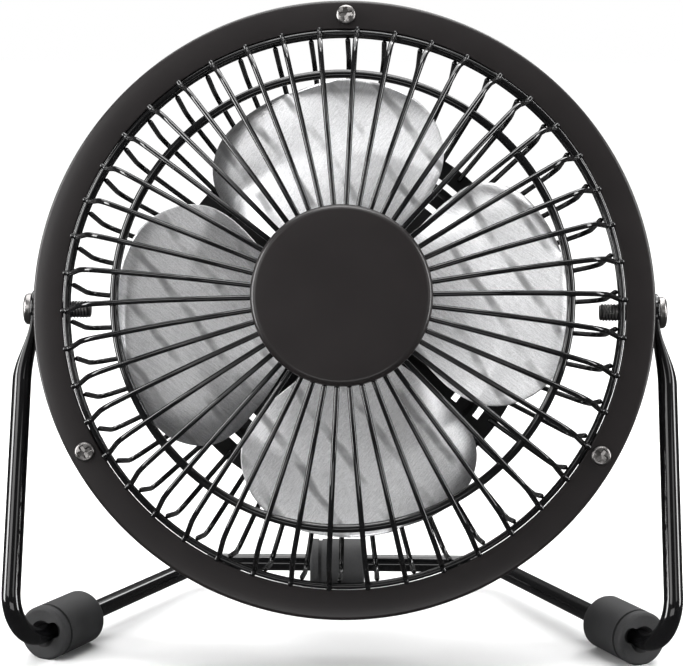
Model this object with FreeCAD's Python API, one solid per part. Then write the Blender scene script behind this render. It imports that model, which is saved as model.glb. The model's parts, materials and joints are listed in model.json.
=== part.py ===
import FreeCAD, Part
import math
import os

# Desk fan: a round wire-guarded head that tilts between the two legs of a
# bent-rod stand. Millimetres and degrees, +Z up, the front faces -Y, and the
# origin is on the floor under the middle of the fan.
#
# The head is drawn in its own frame and then leaned back: x to the right, y up
# across the head, z forward along the fan's axis, with z = 0 on the front face
# of the rim. Angles round the head run clockwise from the top, seen from the
# front.

V = FreeCAD.Vector

# ---------------------------------------------------------------- dimensions
# Head and rim
head_lean = 13.4            # the fan's axis above the horizontal
rim_r = 70.0                # outer radius of the pressed rim
rim_depth = 20.0
rim_wall = 1.0
rim_edge_r = 0.8            # rounding of the rim's front edge
rim_lip = 1.6               # inward curl at the rim's back edge
flange_r = 63.3             # inner radius of the rim's front flange

# Tilt pivot
pivot_back = 11.0           # pivot line behind the rim's front face
pivot_y = -8.2
pivot_z = 78.0
pivot_screw_r = 2.0
pivot_bore_gap = 0.08
pivot_side_gap = 0.1
pivot_washer_t = 0.4
pivot_washer_r = 4.4
pivot_head_r = 3.6
pivot_head_h = 1.8
pivot_screw_inner_x = 58.4  # free end of the screw, from the middle
pivot_nut_flats = 7.0
pivot_nut_h = 3.0
thread_pitch = 0.7
thread_depth = 0.25

# Stand
rod_r = 2.15
eye_t = 1.3                 # thickness of the flattened eye
eye_r = 4.3
eye_taper_start = 17.0      # along the leg, down from the pivot
eye_taper_end = 6.0
eye_neck_thin = 0.72        # half way down the taper, against the rod
eye_neck_wide = 1.15
eye_foot_wide = 0.8         # at the taper's end, against the eye
eye_root_wide = 0.85
leg_outset = 1.35           # rod's inner side outside the rim
corner_y = -38.0
corner_bend_r = 9.0
crossbar_y = 41.0
crossbar_half = 37.0
crossbar_bend_r = 9.0
base_z = 6.0                # centre line of the rod in the base

# Rubber feet
foot_r = 6.2
front_foot_start = 13.4     # from the rod's corner point
front_foot_length = 16.5
rear_foot_length = 13.8
rear_foot_x = -2.6          # its middle, pushed a little along the crossbar
foot_edge = 0.8
foot_groove_from = 1.3      # past the rounded end
foot_groove_w = 0.9
foot_groove_d = 0.45
foot_mouth_r = 3.1
foot_mouth_d = 1.6
foot_slot_w = 3.6           # in the front feet, for pushing them past the bend
foot_slot_d = 3.2
foot_slot_skin = 1.2        # left outside the slot
foot_slot_rise = 22.0

# Wire guard
spoke_count = 46
first_spoke = 2.4
rear_wire_offset = -2.0     # rear wires against the front spokes
spoke_r = 0.6
ring_wire_r = 0.7
mid_ring_r = 49.75
mid_ring_wire_r = 0.95
weld = 0.12                 # how deep welded wires sink into each other
ring_flange_gap = 0.1       # outer ring inside the flange's edge
spoke_inner_r = 16.0
dome_top_z = 20.2
dome_break = (38.0, 19.6)
dome_shoulder = (57.5, 13.2)
dome_break_bend = 70.0
dome_shoulder_bend = 7.0
spoke_foot_bend = 1.5
spoke_foot_in = 0.7         # the last bend, inside the outer ring's wire
spoke_foot_rise = 0.35
spoke_tip_reach = 1.2       # the tip past the outer ring's wire
cage_knee = (60.3, -18.8)
cage_knee_bend = 4.0
plate_set_back = 2.8        # the rear plate's rim behind the knee
cage_wire_inner_r = 41.2

# Centre disc
disc_r = 19.65
disc_front_z = 23.0
disc_edge_r = 1.4
disc_wall = 0.8
hub_plate_t = 1.0
hub_plate_inset = 0.7

# Grille lugs and their screws
lug_count = 3
lug_screw_ring_r = 66.45
lug_width = 8.0
lug_t = 1.3
lug_edge_gap = 0.6
lug_screw_r = 1.3
lug_screw_head_r = 2.2
lug_screw_head_h = 1.3
lug_screw_length = 5.0
screw_clearance = 0.2

# Rear plate
plate_r = 43.5
plate_t = 0.8
plate_step_r = 35.6
plate_step = 1.0
slot_count = 10
slot_span = 24.0
slot_w = 1.5
slot_ring_r = (38.6, 32.2)
slot_start = 8.0

# Motor
motor_r = 12.2
motor_front_z = -13.6
motor_length = 18.4
motor_wall = 1.0
motor_boss_r = 4.6
motor_boss_h = 1.4
motor_cup_gap = 0.1
end_cap_t = 1.5
end_boss_proud = 0.8
bush_r = 3.0
bush_length = 3.0
shaft_r = 1.0
shaft_front_z = -2.6
shaft_back_z = -35.6
running_gap = 0.04
magnet_t = 2.2
magnet_span = 130.0
magnet_end_gap = 2.4
air_gap = 0.5
motor_screw_x = 8.0
motor_screw_r = 1.2
motor_screw_head_r = 2.1
motor_screw_head_h = 1.2
motor_screw_length = 2.6
core_length = 8.0
core_forward = 1.0          # of the middle of the can
core_hub_r = 2.6
pole_count = 3
pole_w = 3.0
pole_shoe_t = 1.9
pole_shoe_span = 88.0
winding_w = 5.6
winding_overhang = 1.0
winding_hub_gap = 0.7
commutator_r = 2.6
commutator_length = 3.0
commutator_gap = 0.6
brush_w = 1.6
brush_gap = 0.3
brush_length = 3.4
brush_inset = 0.6           # from each end of the commutator
terminal_x = 5.5
terminal_y = -8.6
terminal_w = 2.2
terminal_t = 0.5
terminal_length = 3.2

# Motor cover
cover_r = 24.0
cover_wall = 1.6
cover_back_z = -46.0
cover_edge_r = 3.0
cover_flange_r = 31.0
cover_flange_t = 1.8
cover_screw_count = 3
cover_first_screw = 180.0
cover_screw_ring_r = 27.5
cover_screw_r = 1.25
cover_screw_head_r = 2.3
cover_screw_head_h = 1.6
cover_screw_reach = 0.8     # tip past the rear plate

# Rocker switch in the cover
switch_y = 7.0
switch_body = (13.0, 8.4, 8.5)
switch_bezel = (15.2, 10.6, 1.2)
switch_cavity = (10.9, 6.8)
switch_fit = 0.1
rocker_size = (10.0, 6.2)
rocker_pivot_depth = 1.2    # pivot line inside the bezel's front face
rocker_rise = 2.8
rocker_dip = 1.8
rocker_foot = 2.4
rocker_foot_part = 0.6      # of the half length
rocker_edge = 0.4
rocker_dish = 0.9           # middle of the face below its ends
rocker_floor_gap = 1.0
rocker_pin_gap = 0.2
rocker_tilt = 10.0
rocker_pin_r = 0.8
rocker_pin_length = 0.6
switch_terminal_x = 3.4

# Cable gland in the cover
gland_y = -13.5
gland_r = 3.0
gland_flange_r = 4.3
gland_flange_t = 1.5
gland_bore_r = 1.8

# Blades and hub
blade_count = 4
blade_first = -48.0         # the rear edge of the first blade
blade_t = 0.6
blade_mid_z = -4.4
blade_rise = 16.0           # front edge ahead of the rear edge, at the tip
blade_flat_r = 13.5
blade_twist_r = 36.0        # where the blade reaches its full rise
blade_curl = 2.4
blade_curl_part = 0.16
blade_outline = (           # radius, first angle, last angle
    (8.5, 22.0, 64.0), (13.5, 8.0, 74.0), (18.0, 2.5, 79.0),
    (24.0, 0.0, 83.5), (30.0, -0.5, 85.5), (36.0, 0.0, 84.5),
    (41.0, 1.5, 81.0), (44.6, 4.5, 76.5), (47.4, 8.5, 71.5),
    (49.4, 13.0, 65.5), (50.6, 18.5, 57.0), (51.2, 25.5, 46.0),
)
blade_plate_r = 13.0
blade_plate_t = 0.9
hub_r = 4.0
hub_neck_r = 2.5
hub_length = 5.6
hub_neck_proud = 1.0
grub_screw_r = 0.9
grub_screw_sink = 0.3
rivet_r = 0.8
rivet_head_r = 1.5
rivet_head_h = 0.5
rivet_ring_r = 10.8
rivet_spread = 24.0

# ------------------------------------------------------------ derived places
eye_in_x = rim_r + pivot_washer_t + pivot_side_gap
eye_out_x = eye_in_x + eye_t
head_in_x = eye_out_x + pivot_side_gap
leg_x = rim_r + leg_outset + rod_r
ring_r = flange_r - ring_flange_gap - ring_wire_r
ring_z = ring_wire_r - rim_wall - weld
rear_ring_z = weld - rim_wall - lug_t - ring_wire_r
spoke_seat_z = ring_z + ring_wire_r + spoke_r - weld
cage_wire_r = ring_r - ring_wire_r - spoke_r + weld
plate_front_z = cage_knee[1] - plate_set_back
plate_inner_z = plate_front_z + plate_step
motor_back_z = motor_front_z - motor_length
hub_plate_z = dome_top_z - spoke_r + weld
disc_back_z = dome_top_z + spoke_r - weld
blade_plate_z = blade_mid_z - blade_t / 2
switch_front_z = cover_back_z - switch_bezel[2]

lean = math.radians(head_lean)
pivot = V(0, pivot_y, pivot_z)
rim_centre = pivot + V(0, -math.cos(lean), math.sin(lean)) * pivot_back
head_frame = FreeCAD.Placement(rim_centre, FreeCAD.Rotation(V(1, 0, 0), 90 - head_lean))


# ------------------------------------------------------------------- helpers
def around(angle, radius, z=0.0):
    """A point of the head at a clockwise angle from the top."""
    a = math.radians(angle)
    return V(radius * math.sin(a), radius * math.cos(a), z)


def turned(shape, angle):
    """A copy of the shape, turned clockwise round the head's axis."""
    copy = shape.copy()
    copy.rotate(V(0, 0, 0), V(0, 0, 1), -angle)
    return copy


def ring_of(shape, count, first=0.0):
    """Copies of the shape, evenly spaced round the head's axis."""
    return [turned(shape, first + k * 360.0 / count) for k in range(count)]


def cylinder(radius, start, end):
    """A cylinder between two points."""
    way = end - start
    return Part.makeCylinder(radius, way.Length, start, way)


def disc(radius, z_low, z_high, x=0.0, y=0.0):
    """A cylinder along the head's axis."""
    return Part.makeCylinder(radius, z_high - z_low, V(x, y, z_low), V(0, 0, 1))


def tube(outer, inner, z_low, z_high):
    """A hollow cylinder along the head's axis."""
    return disc(outer, z_low, z_high).cut(disc(inner, z_low - 1, z_high + 1))


def block(x_size, y_size, z_low, z_high, x=0.0, y=0.0):
    """A box centred on x and y."""
    corner = V(x - x_size / 2, y - y_size / 2, z_low)
    return Part.makeBox(x_size, y_size, z_high - z_low, corner)


def revolved(profile):
    """A solid turned about the head's axis from (radius, z) points."""
    points = [V(r, 0, z) for r, z in profile]
    face = Part.Face(Part.makePolygon(points + points[:1]))
    return face.revolve(V(0, 0, 0), V(0, 0, 1), 360)


def bent_path(points, bends):
    """Straight runs through the points, joined by tangent arcs."""
    edges = []
    start = points[0]
    for before, corner, after, radius in zip(points, points[1:], points[2:], bends):
        back = (before - corner).normalize()
        ahead = (after - corner).normalize()
        half_turn = (math.pi - back.getAngle(ahead)) / 2
        reach = radius * math.tan(half_turn)
        middle = (back + ahead).normalize()
        rise = radius / math.cos(half_turn) - radius
        first = corner + back * reach
        last = corner + ahead * reach
        edges.append(Part.makeLine(start, first))
        edges.append(Part.Arc(first, corner + middle * rise, last).toShape())
        start = last
    edges.append(Part.makeLine(start, points[-1]))
    return Part.Wire(edges)


def swept(path, radius):
    """A round bar along a path."""
    edge = path.Edges[0]
    start = edge.valueAt(edge.FirstParameter)
    way = edge.tangentAt(edge.FirstParameter)
    circle = Part.Wire(Part.Circle(start, way, radius).toShape())
    return path.makePipeShell([circle], True, False)


def hexagon(flats, height, base, way):
    """A hexagonal prism that starts at base and points along way."""
    radius = flats / math.sqrt(3)
    turn = FreeCAD.Rotation(V(0, 0, 1), way)
    corners = [
        base + turn.multVec(V(radius * math.cos(a), radius * math.sin(a), 0))
        for a in (math.radians(60 * k) for k in range(6))
    ]
    face = Part.Face(Part.makePolygon(corners + corners[:1]))
    return face.extrude(way.normalize() * height)


def pan_head(radius, height):
    """A domed screw head that sits on z = 0 and rises along +z."""
    dome = (radius ** 2 + height ** 2) / (2 * height)
    ball = Part.makeSphere(dome, V(0, 0, height - dome))
    return ball.common(Part.makeCylinder(radius, height))


def cross_recess(radius, depth, top):
    """The cutter of a cross recess in the top of a screw head."""
    width = radius * 0.36
    bar = block(2 * radius, width, top - depth, top + 1)
    return bar.fuse(block(width, 2 * radius, top - depth, top + 1))


def pan_screw(head_r, head_h, shank_r, length):
    """A cross-recessed screw: the head rises from z = 0, the shank hangs."""
    head = pan_head(head_r, head_h).cut(cross_recess(head_r * 0.55, head_h * 0.6, head_h))
    return head.fuse(disc(shank_r, -length, 0.0))


def moved(shape, place):
    """A copy of the shape at a place."""
    copy = shape.copy()
    copy.translate(place)
    return copy


def in_head(shape):
    """A head shape, carried into the fan's frame."""
    copy = shape.copy()
    copy.Placement = head_frame.multiply(copy.Placement)
    return copy


# --------------------------------------------------------------------- stand
def leg_line(side):
    """The pivot's end and the corner's end of a leg's centre line."""
    corner = V(side * leg_x, corner_y, base_z)
    top = V(side * leg_x, pivot_y, pivot_z)
    return top, corner


def make_stand_frame():
    """One bent rod with a flattened eye at each end."""
    left_top, left_corner = leg_line(-1)
    right_top, right_corner = leg_line(1)
    down = (left_corner - left_top).normalize()
    points = [
        left_top + down * eye_taper_start,
        left_corner,
        V(-crossbar_half, crossbar_y, base_z),
        V(crossbar_half, crossbar_y, base_z),
        right_corner,
        right_top + down * eye_taper_start,
    ]
    bends = (corner_bend_r, crossbar_bend_r, crossbar_bend_r, corner_bend_r)
    frame = swept(bent_path(points, bends), rod_r)
    eye = make_eye(down)
    return frame.fuse([eye, eye.mirror(V(0, 0, 0), V(1, 0, 0))])


def make_eye(down):
    """The forged end of the right leg: round, then flat, with a bore."""
    eye_x = (eye_in_x + eye_out_x) / 2
    half_way = (eye_taper_start + eye_taper_end) / 2
    stations = (
        (eye_taper_start, leg_x, rod_r, rod_r),
        (half_way, (leg_x + eye_x) / 2, rod_r * eye_neck_thin, rod_r * eye_neck_wide),
        (eye_taper_end, eye_x, eye_t / 2, eye_r * eye_foot_wide),
        (eye_r / 2, eye_x, eye_t / 2, eye_r * eye_root_wide),
    )
    sections = []
    for reach, x, thick, wide in stations:
        centre = V(x, pivot_y, pivot_z) + down * reach
        sections.append(oval(centre, down, thick, wide))
    neck = Part.makeLoft(sections, True, True)
    inner = V(eye_in_x, pivot_y, pivot_z)
    outer = V(eye_out_x, pivot_y, pivot_z)
    eye = neck.fuse(cylinder(eye_r, inner, outer))
    reach = V(rod_r, 0, 0)
    bore_r = pivot_screw_r + pivot_bore_gap
    return eye.cut(cylinder(bore_r, inner - reach, outer + reach))


def oval(centre, normal, half_x, half_wide):
    """An oval wire square to the leg; half_x, along X, is the shorter half."""
    if half_x == half_wide:
        return Part.Wire(Part.Circle(centre, normal, half_x).toShape())
    across = normal.cross(V(1, 0, 0)).normalize()
    curve = Part.Ellipse(centre + across * half_wide, centre + V(half_x, 0, 0), centre)
    return Part.Wire(curve.toShape())


def make_foot(start, way, length):
    """A rubber sleeve on the rod, cut flat where it meets the floor."""
    body = Part.makeCylinder(foot_r, length)
    body = body.makeFillet(foot_edge, [e for e in body.Edges if isinstance(e.Curve, Part.Circle)])
    groove_z = foot_edge + foot_groove_from
    ring = disc(foot_r + 1, groove_z, groove_z + foot_groove_w)
    body = body.cut(ring.cut(disc(foot_r - foot_groove_d, 0, length)))
    body = body.cut(disc(rod_r, -1, length + 1))
    body = body.cut(Part.makeCone(foot_mouth_r, rod_r, foot_mouth_d))
    body.Placement = FreeCAD.Placement(start, FreeCAD.Rotation(V(0, 0, 1), way))
    side = 4 * (crossbar_y - corner_y)
    floor = Part.makeBox(side, side, foot_r, V(-side / 2, -side / 2, -foot_r))
    return body.cut(floor)


def make_front_foot(side):
    """A foot on the diagonal, just past the rod's corner."""
    corner = V(side * leg_x, corner_y, base_z)
    way = (V(side * crossbar_half, crossbar_y, base_z) - corner).normalize()
    start = corner + way * front_foot_start
    inward = V(-side * way.y, side * way.x, 0)
    rise = math.radians(foot_slot_rise)
    aim = inward * math.cos(rise) + V(0, 0, 1) * math.sin(rise)
    slot = make_foot_slot(start, way, aim)
    return make_foot(start, way, front_foot_length).cut(slot)


def make_foot_slot(start, way, aim):
    """The cutter of the round-ended slot beside the rod."""
    reach = foot_r - foot_slot_skin - foot_slot_w / 2
    slot = block(reach, foot_slot_w, -1, foot_slot_d, reach / 2)
    slot = slot.fuse(disc(foot_slot_w / 2, -1, foot_slot_d, reach))
    turn = FreeCAD.Rotation(aim, way.cross(aim), way, "ZXY")
    slot.Placement = FreeCAD.Placement(start, turn)
    return slot


def make_rear_foot():
    """The foot in the middle of the crossbar."""
    start = V(rear_foot_x - rear_foot_length / 2, crossbar_y, base_z)
    return make_foot(start, V(1, 0, 0), rear_foot_length)


# ----------------------------------------------------------------------- rim
def make_rim():
    """The pressed steel rim: front flange, wall and back lip."""
    skin = disc(rim_r, -rim_depth, 0)
    front = [e for e in skin.Edges if abs(e.BoundBox.ZMin) < 0.01 and abs(e.BoundBox.ZMax) < 0.01]
    skin = skin.makeFillet(rim_edge_r, front)
    skin = skin.cut(disc(rim_r - rim_wall, -rim_depth + rim_wall, -rim_wall))
    skin = skin.cut(disc(rim_r - rim_wall - rim_lip, -rim_depth - 1, -rim_wall))
    skin = skin.cut(disc(flange_r, -rim_depth, 1))
    hole = disc(lug_screw_r + screw_clearance, -rim_wall - 1, 1, 0, lug_screw_ring_r)
    for cutter in ring_of(hole, lug_count):
        skin = skin.cut(cutter)
    bore = pivot_screw_r + pivot_bore_gap
    cross = V(rim_r + 2, 0, -pivot_back)
    return skin.cut(cylinder(bore, V(-cross.x, 0, cross.z), cross))


# --------------------------------------------------------------------- pivot
def make_pivot_screw():
    """The right-hand pivot screw, drawn along +x with its thread inside."""
    shank = cylinder(pivot_screw_r, V(rim_r - rim_wall, 0, 0), V(head_in_x, 0, 0))
    turns = int((rim_r - rim_wall - pivot_screw_inner_x) / thread_pitch)
    start = rim_r - rim_wall - turns * thread_pitch
    root = pivot_screw_r - thread_depth
    profile = [V(start, 0, 0), V(start, root, 0)]
    for k in range(turns):
        x = start + k * thread_pitch
        profile.append(V(x + thread_pitch / 2, pivot_screw_r, 0))
        profile.append(V(x + thread_pitch, root, 0))
    profile.append(V(rim_r - rim_wall, 0, 0))
    thread = Part.Face(Part.makePolygon(profile + profile[:1]))
    thread = thread.revolve(V(0, 0, 0), V(1, 0, 0), 360)
    head = pan_head(pivot_head_r, pivot_head_h)
    head = head.cut(cross_recess(pivot_head_r * 0.5, pivot_head_h * 0.5, pivot_head_h))
    head.Placement = FreeCAD.Placement(V(head_in_x, 0, 0), FreeCAD.Rotation(V(0, 0, 1), V(1, 0, 0)))
    return shank.fuse(thread).fuse(head)


def make_pivot_nut():
    """The right-hand nut against the inside of the rim."""
    half = pivot_nut_flats / math.sqrt(3)
    inner_r = rim_r - rim_wall
    face_x = math.sqrt(inner_r ** 2 - half ** 2)
    nut = hexagon(pivot_nut_flats, pivot_nut_h, V(face_x, 0, 0), V(-1, 0, 0))
    return nut.cut(cylinder(pivot_screw_r, V(0, 0, 0), V(rim_r, 0, 0)))


def make_pivot_washer():
    """The right-hand washer between the rim and the eye."""
    washer = cylinder(pivot_washer_r, V(rim_r, 0, 0), V(rim_r + pivot_washer_t, 0, 0))
    return washer.cut(cylinder(pivot_screw_r, V(0, 0, 0), V(rim_r + 2, 0, 0)))


def both_sides(shape):
    """The right-hand pivot piece at the pivot, and its twin on the left."""
    right = moved(shape, V(0, 0, -pivot_back))
    left = right.copy()
    left.rotate(V(0, 0, 0), V(0, 0, 1), 180)
    return Part.makeCompound([left, right])


# ---------------------------------------------------------------- wire guard
def make_spokes():
    """The front spokes, from under the centre disc to the outer ring."""
    tip_r = ring_r + spoke_tip_reach
    foot = (ring_r - spoke_foot_in, spoke_seat_z + spoke_foot_rise)
    profile = [
        (spoke_inner_r, dome_top_z), dome_break, dome_shoulder, foot, (tip_r, spoke_seat_z),
    ]
    points = [V(0, r, z) for r, z in profile]
    bends = (dome_break_bend, dome_shoulder_bend, spoke_foot_bend)
    spoke = swept(bent_path(points, bends), spoke_r)
    return Part.makeCompound(ring_of(spoke, spoke_count, first_spoke))


def make_cage_wires():
    """The rear wires, from the rear ring to the rear plate."""
    seat_z = plate_front_z + spoke_r - weld
    start_z = rear_ring_z + ring_wire_r - weld
    profile = [(cage_wire_r, start_z), cage_knee, (cage_wire_inner_r, seat_z)]
    points = [V(0, r, z) for r, z in profile]
    wire = swept(bent_path(points, (cage_knee_bend,)), spoke_r)
    return Part.makeCompound(ring_of(wire, spoke_count, first_spoke + rear_wire_offset))


def make_mid_ring():
    """The thicker ring welded behind the front spokes."""
    run = V(dome_shoulder[0] - dome_break[0], dome_shoulder[1] - dome_break[1], 0)
    slope = run.y / run.x
    spoke_z = dome_break[1] + (mid_ring_r - dome_break[0]) * slope
    drop = (spoke_r + mid_ring_wire_r - weld) / math.cos(math.atan(slope))
    return Part.makeTorus(mid_ring_r, mid_ring_wire_r, V(0, 0, spoke_z - drop))


def make_outer_ring(z):
    """An outer ring of the guard, just inside the flange."""
    return Part.makeTorus(ring_r, ring_wire_r, V(0, 0, z))


def make_centre_disc():
    """The pressed cap in the middle of the front guard."""
    cap = disc(disc_r, disc_back_z, disc_front_z)
    front = [e for e in cap.Edges if abs(e.BoundBox.ZMin - disc_front_z) < 0.01]
    cap = cap.makeFillet(disc_edge_r, front)
    return cap.cut(disc(disc_r - disc_wall, disc_back_z - 1, disc_front_z - disc_wall))


def make_hub_plate():
    """The plate that the inner ends of the spokes are welded to."""
    return disc(disc_r - hub_plate_inset, hub_plate_z - hub_plate_t, hub_plate_z)


def make_lugs():
    """Three tabs behind the flange that the guard is screwed by."""
    inner = ring_r - ring_wire_r
    outer = rim_r - rim_wall - lug_edge_gap
    mid = (inner + outer) / 2
    lug = block(lug_width, outer - inner, -rim_wall - lug_t, -rim_wall, 0, mid)
    lug = lug.common(disc(outer, -rim_depth, 0))
    lug = lug.cut(disc(lug_screw_r, -rim_depth, 0, 0, lug_screw_ring_r))
    return Part.makeCompound(ring_of(lug, lug_count))


def make_flange_screws():
    """The three screws through the flange."""
    screw = pan_screw(lug_screw_head_r, lug_screw_head_h, lug_screw_r, lug_screw_length)
    return Part.makeCompound(ring_of(moved(screw, V(0, lug_screw_ring_r, 0)), lug_count))


# ---------------------------------------------------------------- rear plate
def arc_slot(radius, width, span, z_low, z_high):
    """The cutter of a slot along an arc, centred on the top."""
    ring = tube(radius + width / 2, radius - width / 2, z_low, z_high)
    reach = 2 * radius
    side = math.radians(span / 2)
    wedge = Part.Face(Part.makePolygon([
        V(0, 0, z_low),
        V(-reach * math.sin(side), reach * math.cos(side), z_low),
        V(reach * math.sin(side), reach * math.cos(side), z_low),
        V(0, 0, z_low),
    ]))
    return ring.common(wedge.extrude(V(0, 0, z_high - z_low)))


def make_rear_plate():
    """The pressed plate that carries the motor and the rear wires."""
    cup_in = motor_r + motor_cup_gap
    cup_out = cup_in + plate_t
    hole = motor_boss_r + motor_cup_gap
    cup_z = motor_front_z + plate_t
    plate = revolved([
        (hole, cup_z), (cup_out, cup_z), (cup_out, plate_inner_z),
        (plate_step_r, plate_inner_z), (plate_step_r + plate_step, plate_front_z),
        (plate_r, plate_front_z), (plate_r, plate_front_z - plate_t),
        (plate_step_r + plate_step - plate_t / 2, plate_front_z - plate_t),
        (plate_step_r - plate_t / 2, plate_inner_z - plate_t),
        (cup_in, plate_inner_z - plate_t), (cup_in, motor_front_z), (hole, motor_front_z),
    ])
    cutters = []
    for radius in slot_ring_r:
        slot = arc_slot(radius, slot_w, slot_span, plate_front_z - 3, plate_inner_z + 1)
        cutters += ring_of(slot, slot_count, slot_start)
    screw = disc(cover_screw_r, plate_front_z - 3, plate_inner_z + 1, 0, cover_screw_ring_r)
    cutters += ring_of(screw, cover_screw_count, cover_first_screw)
    for side in (-1, 1):
        cutters.append(disc(motor_screw_r, motor_front_z - 1, cup_z + 1, side * motor_screw_x))
    return plate.cut(Part.makeCompound(cutters))


def make_cover():
    """The moulded cover over the motor, with its switch and gland holes."""
    top = plate_inner_z - plate_t
    cup = disc(cover_r, cover_back_z, top)
    back = [e for e in cup.Edges if abs(e.BoundBox.ZMax - cover_back_z) < 0.01]
    cup = cup.makeFillet(cover_edge_r, back)
    cover = cup.fuse(disc(cover_flange_r, top - cover_flange_t, top))
    cover = cover.cut(disc(cover_r - cover_wall, cover_back_z + cover_wall, top + 1))
    opening = block(
        switch_body[0] + switch_fit, switch_body[1] + switch_fit,
        cover_back_z - 1, cover_back_z + cover_wall + 1, 0, switch_y,
    )
    cover = cover.cut(opening)
    gland = disc(gland_r, cover_back_z - 1, cover_back_z + cover_wall + 1, 0, gland_y)
    cover = cover.cut(gland)
    hole_r = cover_screw_r + screw_clearance
    hole = disc(hole_r, top - cover_flange_t - 1, top + 1, 0, cover_screw_ring_r)
    holes = ring_of(hole, cover_screw_count, cover_first_screw)
    return cover.cut(Part.makeCompound(holes))


def make_cover_screws():
    """The three screws of the motor cover, heads to the back."""
    top = plate_inner_z - plate_t
    length = cover_flange_t + plate_t + cover_screw_reach
    screw = pan_screw(cover_screw_head_r, cover_screw_head_h, cover_screw_r, length)
    screw.rotate(V(0, 0, 0), V(1, 0, 0), 180)
    screw = moved(screw, V(0, cover_screw_ring_r, top - cover_flange_t))
    return Part.makeCompound(ring_of(screw, cover_screw_count, cover_first_screw))


# --------------------------------------------------------------------- motor
def make_motor_can():
    """The drawn steel can with its front bearing boss."""
    can = disc(motor_r, motor_back_z, motor_front_z)
    can = can.cut(disc(motor_r - motor_wall, motor_back_z - 1, motor_front_z - motor_wall))
    can = can.fuse(disc(motor_boss_r, motor_front_z - bush_length, motor_front_z + motor_boss_h))
    can = can.cut(disc(bush_r, motor_front_z - bush_length - 1, motor_front_z + motor_boss_h + 1))
    for side in (-1, 1):
        hole = disc(motor_screw_r, motor_front_z - 2, motor_front_z + 1, side * motor_screw_x)
        can = can.cut(hole)
    return can


def make_motor_screws():
    """The two screws that hold the motor in the plate's cup."""
    screw = pan_screw(motor_screw_head_r, motor_screw_head_h, motor_screw_r, motor_screw_length)
    z = motor_front_z + plate_t
    return Part.makeCompound([moved(screw, V(s * motor_screw_x, 0, z)) for s in (-1, 1)])


def make_end_cap():
    """The moulded end of the motor, with its rear bearing boss."""
    low = motor_back_z - end_cap_t
    cap = disc(motor_r, low, motor_back_z)
    boss_low = low - end_boss_proud
    cap = cap.fuse(disc(motor_boss_r, boss_low, boss_low + bush_length))
    return cap.cut(disc(bush_r, boss_low - 1, motor_back_z + bush_length))


def make_front_bush():
    """The sintered front bearing."""
    high = motor_front_z + motor_boss_h
    return tube(bush_r, shaft_r + running_gap, high - bush_length, high)


def make_rear_bush():
    """The sintered rear bearing."""
    low = motor_back_z - end_cap_t - end_boss_proud
    return tube(bush_r, shaft_r + running_gap, low, low + bush_length)


def make_magnets():
    """Two curved magnets on the inside of the can."""
    outer = motor_r - motor_wall
    mid = outer - magnet_t / 2
    low = motor_back_z + magnet_end_gap
    high = motor_front_z - motor_wall - magnet_end_gap
    ring = tube(outer, outer - magnet_t, low, high)
    reach = 4 * motor_r
    keep = math.radians(90 - magnet_span / 2)
    gap = Part.Face(Part.makePolygon([
        V(0, 0, low), V(reach * math.sin(keep), reach * math.cos(keep), low),
        V(-reach * math.sin(keep), reach * math.cos(keep), low), V(0, 0, low),
    ])).extrude(V(0, 0, high - low))
    upper = ring.cut(gap)
    gap.rotate(V(0, 0, 0), V(0, 0, 1), 180)
    return upper.cut(gap)


def core_span():
    """The armature core's low and high ends."""
    middle = (motor_back_z + motor_front_z - motor_wall) / 2 + core_forward
    return middle - core_length / 2, middle + core_length / 2


def make_armature_core():
    """The three-pole laminated core."""
    low, high = core_span()
    tip_r = motor_r - motor_wall - magnet_t - air_gap
    shoe = arc_slot(tip_r - pole_shoe_t / 2, pole_shoe_t, pole_shoe_span, low, high)
    stem = block(pole_w, tip_r - pole_shoe_t / 2, low, high, 0, (tip_r - pole_shoe_t / 2) / 2)
    core = disc(core_hub_r, low, high)
    for pole in ring_of(shoe.fuse(stem), pole_count):
        core = core.fuse(pole)
    return core.cut(disc(shaft_r, low - 1, high + 1)).removeSplitter()


def make_windings():
    """One coil round each pole."""
    low, high = core_span()
    tip_r = motor_r - motor_wall - magnet_t - air_gap
    inner = core_hub_r + winding_hub_gap
    outer = tip_r - pole_shoe_t
    mid = (inner + outer) / 2
    over = winding_overhang
    coil = block(winding_w, outer - inner, low - over, high + over, 0, mid)
    shoe = tube(tip_r, tip_r - pole_shoe_t, low, high)
    coil = coil.common(disc(outer, low - over, high + over))
    coil = coil.cut(block(pole_w, 4 * outer, low, high)).cut(shoe)
    return Part.makeCompound(ring_of(coil, pole_count))


def make_commutator():
    """The copper sleeve that the brushes ride on."""
    high = core_span()[0] - winding_overhang - commutator_gap
    return tube(commutator_r, shaft_r, high - commutator_length, high)


def make_brushes():
    """Two brushes beside the commutator."""
    high = core_span()[0] - winding_overhang - commutator_gap
    start = commutator_r + brush_gap
    low = high - commutator_length + brush_inset
    brush = block(brush_w, brush_length, low, high - brush_inset, 0, start + brush_length / 2)
    return Part.makeCompound(ring_of(brush, 2, 90))


def make_terminals():
    """The motor's two solder tabs."""
    low = motor_back_z - end_cap_t - terminal_length
    tab = block(terminal_w, terminal_t, low, motor_back_z - end_cap_t, 0, terminal_y)
    return Part.makeCompound([moved(tab, V(s * terminal_x, 0, 0)) for s in (-1, 1)])


def make_shaft():
    """The motor's shaft."""
    return disc(shaft_r, shaft_back_z, shaft_front_z)


# --------------------------------------------------------------------- rotor
def make_hub():
    """The turned brass hub on the shaft."""
    back = blade_plate_z - blade_plate_t
    hub = disc(hub_r, back - hub_length, back)
    hub = hub.fuse(disc(hub_neck_r, back, blade_plate_z + hub_neck_proud))
    hub = hub.cut(disc(shaft_r, back - hub_length - 1, blade_plate_z + 3))
    middle = back - hub_length / 2
    return hub.cut(cylinder(grub_screw_r, V(0, 0, middle), V(0, 2 * hub_r, middle)))


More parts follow.
